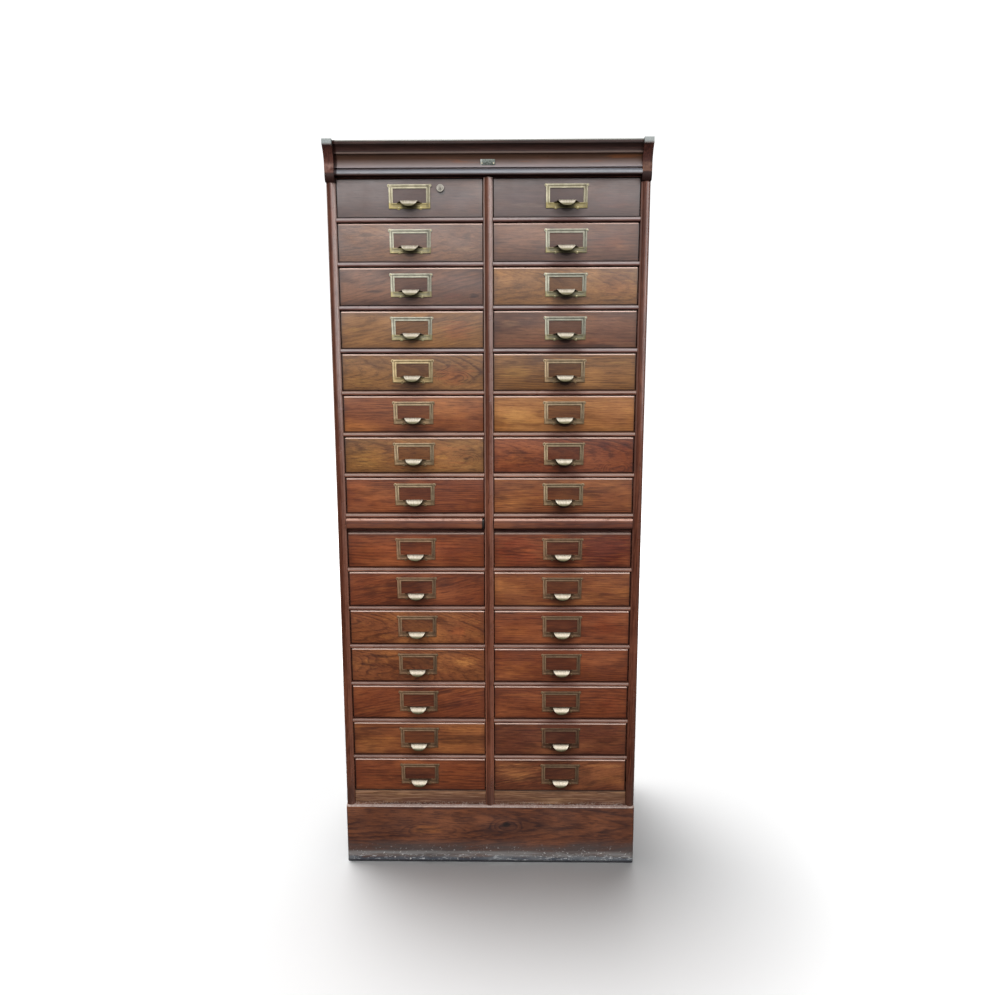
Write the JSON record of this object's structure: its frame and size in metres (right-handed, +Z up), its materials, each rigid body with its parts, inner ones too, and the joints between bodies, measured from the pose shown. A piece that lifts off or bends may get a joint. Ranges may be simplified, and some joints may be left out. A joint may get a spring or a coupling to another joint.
{
  "type": "archive cabinet",
  "caption": "Tall floor-standing oak cabinet of shallow drawers with brass label pulls, pull-out writing slides at waist height, a moulded cornice and a plinth.",
  "frame": {"origin": "middle of the bounding box at floor level", "axes": "+Z up, +X to the right of a person who faces the drawers, +Y to the back; the drawers open towards -Y"},
  "size_m": [0.764, 0.457, 1.8276],
  "materials": {
    "carcass_wood": "worn dark stained oak, satin",
    "drawer_wood": "worn golden brown oak, satin",
    "inner_wood": "bare sawn wood, matt",
    "brass": "aged, rubbed bright on the edges"
  },
  "bodies": {
    "carcass": {"side_left": "carcass_wood", "side_right": "carcass_wood", "centre_divider": "carcass_wood", "base_board": "inner_wood", "top_board": "inner_wood", "back_boards": "inner_wood", "top_rail": "carcass_wood", "bottom_rails": "carcass_wood", "plinth_front": "carcass_wood", "plinth_back": "inner_wood", "plinth_blocks": "inner_wood", "bead_rails_left": "carcass_wood", "bead_rails_right": "carcass_wood", "drawer_runners_left": "inner_wood", "drawer_runners_right": "inner_wood", "slide_support_rails": "carcass_wood", "slide_runners": "inner_wood", "cornice_moulding": "carcass_wood", "cornice_end_left": "carcass_wood", "cornice_end_right": "carcass_wood", "badge_plate": "brass", "badge_pins": "brass"},
    "drawer_left_01": {"drawer_left_01": "drawer_wood", "lock_case": "brass", "lock_screws": "brass"},
    "drawer_left_02": {"drawer_left_02": "drawer_wood"},
    "drawer_left_03": {"drawer_left_03": "drawer_wood"},
    "drawer_left_04": {"drawer_left_04": "drawer_wood"},
    "drawer_left_05": {"drawer_left_05": "drawer_wood"},
    "drawer_left_06": {"drawer_left_06": "drawer_wood"},
    "drawer_left_07": {"drawer_left_07": "drawer_wood"},
    "drawer_left_08": {"drawer_left_08": "drawer_wood"},
    "drawer_left_09": {"drawer_left_09": "drawer_wood"},
    "drawer_left_10": {"drawer_left_10": "drawer_wood"},
    "drawer_left_11": {"drawer_left_11": "drawer_wood"},
    "drawer_left_12": {"drawer_left_12": "drawer_wood"},
    "drawer_left_13": {"drawer_left_13": "drawer_wood"},
    "drawer_left_14": {"drawer_left_14": "drawer_wood"},
    "drawer_left_15": {"drawer_left_15": "drawer_wood"},
    "drawer_right_01": {"drawer_right_01": "drawer_wood"},
    "drawer_right_02": {"drawer_right_02": "drawer_wood"},
    "drawer_right_03": {"drawer_right_03": "drawer_wood"},
    "drawer_right_04": {"drawer_right_04": "drawer_wood"},
    "drawer_right_05": {"drawer_right_05": "drawer_wood"},
    "drawer_right_06": {"drawer_right_06": "drawer_wood"},
    "drawer_right_07": {"drawer_right_07": "drawer_wood"},
    "drawer_right_08": {"drawer_right_08": "drawer_wood"},
    "drawer_right_09": {"drawer_right_09": "drawer_wood"},
    "drawer_right_10": {"drawer_right_10": "drawer_wood"},
    "drawer_right_11": {"drawer_right_11": "drawer_wood"},
    "drawer_right_12": {"drawer_right_12": "drawer_wood"},
    "drawer_right_13": {"drawer_right_13": "drawer_wood"},
    "drawer_right_14": {"drawer_right_14": "drawer_wood"},
    "drawer_right_15": {"drawer_right_15": "drawer_wood"},
    "slide_left": {"writing_slide_left": "drawer_wood", "slide_lip_left": "carcass_wood"},
    "slide_right": {"writing_slide_right": "drawer_wood", "slide_lip_right": "carcass_wood"},
    "lock_plug": {"lock_plug": "brass"},
    "lock_bolt": {"lock_bolt": "brass"}
  },
  "joints": [
    {"name": "drawer_left_01_slide", "type": "slide", "parent": "carcass", "child": "drawer_left_01", "axis": [0, -1, 0], "range_m": [0, 0.32]},
    {"name": "drawer_left_02_slide", "type": "slide", "parent": "carcass", "child": "drawer_left_02", "axis": [0, -1, 0], "range_m": [0, 0.32]},
    {"name": "drawer_left_03_slide", "type": "slide", "parent": "carcass", "child": "drawer_left_03", "axis": [0, -1, 0], "range_m": [0, 0.32]},
    {"name": "drawer_left_04_slide", "type": "slide", "parent": "carcass", "child": "drawer_left_04", "axis": [0, -1, 0], "range_m": [0, 0.32]},
    {"name": "drawer_left_05_slide", "type": "slide", "parent": "carcass", "child": "drawer_left_05", "axis": [0, -1, 0], "range_m": [0, 0.32]},
    {"name": "drawer_left_06_slide", "type": "slide", "parent": "carcass", "child": "drawer_left_06", "axis": [0, -1, 0], "range_m": [0, 0.32]},
    {"name": "drawer_left_07_slide", "type": "slide", "parent": "carcass", "child": "drawer_left_07", "axis": [0, -1, 0], "range_m": [0, 0.32]},
    {"name": "drawer_left_08_slide", "type": "slide", "parent": "carcass", "child": "drawer_left_08", "axis": [0, -1, 0], "range_m": [0, 0.32]},
    {"name": "drawer_left_09_slide", "type": "slide", "parent": "carcass", "child": "drawer_left_09", "axis": [0, -1, 0], "range_m": [0, 0.32]},
    {"name": "drawer_left_10_slide", "type": "slide", "parent": "carcass", "child": "drawer_left_10", "axis": [0, -1, 0], "range_m": [0, 0.32]},
    {"name": "drawer_left_11_slide", "type": "slide", "parent": "carcass", "child": "drawer_left_11", "axis": [0, -1, 0], "range_m": [0, 0.32]},
    {"name": "drawer_left_12_slide", "type": "slide", "parent": "carcass", "child": "drawer_left_12", "axis": [0, -1, 0], "range_m": [0, 0.32]},
    {"name": "drawer_left_13_slide", "type": "slide", "parent": "carcass", "child": "drawer_left_13", "axis": [0, -1, 0], "range_m": [0, 0.32]},
    {"name": "drawer_left_14_slide", "type": "slide", "parent": "carcass", "child": "drawer_left_14", "axis": [0, -1, 0], "range_m": [0, 0.32]},
    {"name": "drawer_left_15_slide", "type": "slide", "parent": "carcass", "child": "drawer_left_15", "axis": [0, -1, 0], "range_m": [0, 0.32]},
    {"name": "drawer_right_01_slide", "type": "slide", "parent": "carcass", "child": "drawer_right_01", "axis": [0, -1, 0], "range_m": [0, 0.32]},
    {"name": "drawer_right_02_slide", "type": "slide", "parent": "carcass", "child": "drawer_right_02", "axis": [0, -1, 0], "range_m": [0, 0.32]},
    {"name": "drawer_right_03_slide", "type": "slide", "parent": "carcass", "child": "drawer_right_03", "axis": [0, -1, 0], "range_m": [0, 0.32]},
    {"name": "drawer_right_04_slide", "type": "slide", "parent": "carcass", "child": "drawer_right_04", "axis": [0, -1, 0], "range_m": [0, 0.32]},
    {"name": "drawer_right_05_slide", "type": "slide", "parent": "carcass", "child": "drawer_right_05", "axis": [0, -1, 0], "range_m": [0, 0.32]},
    {"name": "drawer_right_06_slide", "type": "slide", "parent": "carcass", "child": "drawer_right_06", "axis": [0, -1, 0], "range_m": [0, 0.32]},
    {"name": "drawer_right_07_slide", "type": "slide", "parent": "carcass", "child": "drawer_right_07", "axis": [0, -1, 0], "range_m": [0, 0.32]},
    {"name": "drawer_right_08_slide", "type": "slide", "parent": "carcass", "child": "drawer_right_08", "axis": [0, -1, 0], "range_m": [0, 0.32]},
    {"name": "drawer_right_09_slide", "type": "slide", "parent": "carcass", "child": "drawer_right_09", "axis": [0, -1, 0], "range_m": [0, 0.32]},
    {"name": "drawer_right_10_slide", "type": "slide", "parent": "carcass", "child": "drawer_right_10", "axis": [0, -1, 0], "range_m": [0, 0.32]},
    {"name": "drawer_right_11_slide", "type": "slide", "parent": "carcass", "child": "drawer_right_11", "axis": [0, -1, 0], "range_m": [0, 0.32]},
    {"name": "drawer_right_12_slide", "type": "slide", "parent": "carcass", "child": "drawer_right_12", "axis": [0, -1, 0], "range_m": [0, 0.32]},
    {"name": "drawer_right_13_slide", "type": "slide", "parent": "carcass", "child": "drawer_right_13", "axis": [0, -1, 0], "range_m": [0, 0.32]},
    {"name": "drawer_right_14_slide", "type": "slide", "parent": "carcass", "child": "drawer_right_14", "axis": [0, -1, 0], "range_m": [0, 0.32]},
    {"name": "drawer_right_15_slide", "type": "slide", "parent": "carcass", "child": "drawer_right_15", "axis": [0, -1, 0], "range_m": [0, 0.32]},
    {"name": "writing_slide_left_pull", "type": "slide", "parent": "carcass", "child": "slide_left", "axis": [0, -1, 0], "range_m": [0, 0.29]},
    {"name": "writing_slide_right_pull", "type": "slide", "parent": "carcass", "child": "slide_right", "axis": [0, -1, 0], "range_m": [0, 0.29]},
    {"name": "lock_turn", "type": "hinge", "parent": "drawer_left_01", "child": "lock_plug", "pos_m": [-0.1125, -0.1975, 1.7248], "axis": [0, -1, 0], "range_deg": [0, 90]},
    {"name": "lock_bolt_lift", "type": "slide", "parent": "drawer_left_01", "child": "lock_bolt", "axis": [0, 0, 1], "range_m": [0, 0.00495]}
  ],
  "couplings": [
    {"joint": "lock_bolt_lift", "follows": "lock_turn", "m_per_rad": 0.0031511}
  ]
}
